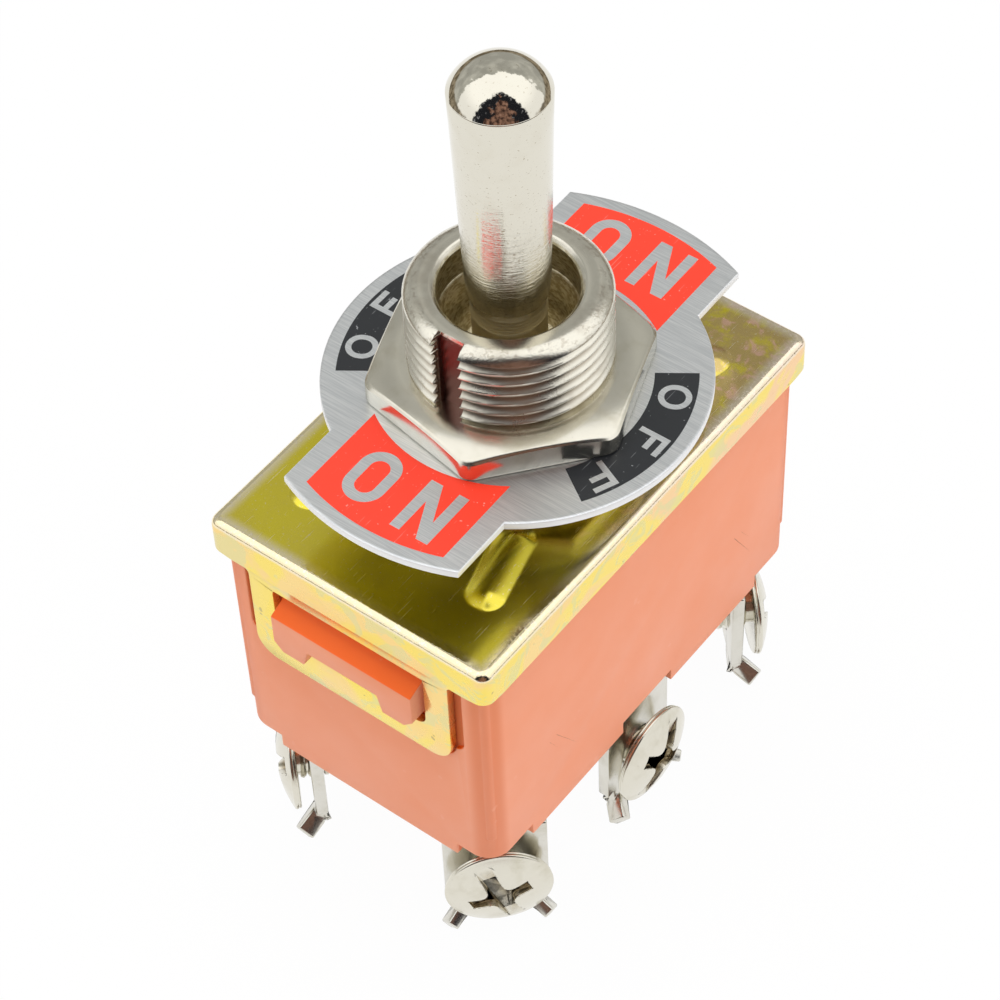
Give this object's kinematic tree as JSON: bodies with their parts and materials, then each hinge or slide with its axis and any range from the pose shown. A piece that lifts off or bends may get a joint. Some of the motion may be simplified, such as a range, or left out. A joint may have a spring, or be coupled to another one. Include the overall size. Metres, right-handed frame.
{
  "type": "panel toggle switch",
  "caption": "Panel-mount toggle switch with a centre-off lever, moulded housing, latched steel lid, threaded bushing with an indicator plate, and screw terminals with wire prongs.",
  "frame": {"origin": "on the bushing's axis where its free thread starts, at the front nut's top face", "axes": "+Z along the bushing and the lever at rest, out of the panel; +Y along the housing's long side, the way the lever swings; +X across it"},
  "size_m": [0.0226, 0.0334, 0.057],
  "materials": {
    "housing": "smooth thermoset moulding",
    "yellow_zinc": "yellow passivated zinc plating",
    "nickel": "bright nickel plating",
    "aluminium": "brushed, printed red and black",
    "steel": "bright drawn",
    "insulator": "matte phenolic",
    "brass": "plain copper alloy",
    "silver": "silver contact face"
  },
  "bodies": {
    "frame": {"housing": "housing", "lid": "yellow_zinc", "bushing": "nickel", "seat_ring": "insulator", "back_nut": "nickel", "lock_washer": "nickel", "indicator_plate": "aluminium", "front_nut": "nickel", "left_common_terminal": "nickel", "right_common_terminal": "nickel", "left_front_terminal": "nickel", "right_front_terminal": "nickel", "left_rear_terminal": "nickel", "right_rear_terminal": "nickel", "left_front_contact": "silver", "right_front_contact": "silver", "left_rear_contact": "silver", "right_rear_contact": "silver", "left_common_screw": "nickel", "right_common_screw": "nickel", "left_front_screw": "nickel", "right_front_screw": "nickel", "left_rear_screw": "nickel", "right_rear_screw": "nickel"},
    "lever": {"lever": "nickel", "pivot_pin": "steel"},
    "carrier": {"carrier": "insulator", "left_plunger": "insulator", "right_plunger": "insulator", "left_spring": "steel", "right_spring": "steel"},
    "left_rocker": {"left_rocker": "brass"},
    "right_rocker": {"right_rocker": "brass"}
  },
  "joints": [
    {"name": "lever_swing", "type": "hinge", "parent": "frame", "child": "lever", "pos_m": [0, 0, -0.002], "axis": [1, 0, 0], "range_deg": [-11, 11]},
    {"name": "carrier_slide", "type": "slide", "parent": "frame", "child": "carrier", "axis": [0, 1, 0], "range_m": [-0.00161, 0.00161]},
    {"name": "left_rocker_tilt", "type": "hinge", "parent": "frame", "child": "left_rocker", "pos_m": [-0.0046, 0, -0.0171], "axis": [1, 0, 0], "range_deg": [-8, 8]},
    {"name": "right_rocker_tilt", "type": "hinge", "parent": "frame", "child": "right_rocker", "pos_m": [0.0046, 0, -0.0171], "axis": [1, 0, 0], "range_deg": [-8, 8]}
  ],
  "couplings": [
    {"joint": "carrier_slide", "follows": "lever_swing", "m_per_rad": 0.0083486},
    {"joint": "left_rocker_tilt", "follows": "lever_swing", "ratio": -0.7272},
    {"joint": "right_rocker_tilt", "follows": "lever_swing", "ratio": -0.7272}
  ]
}
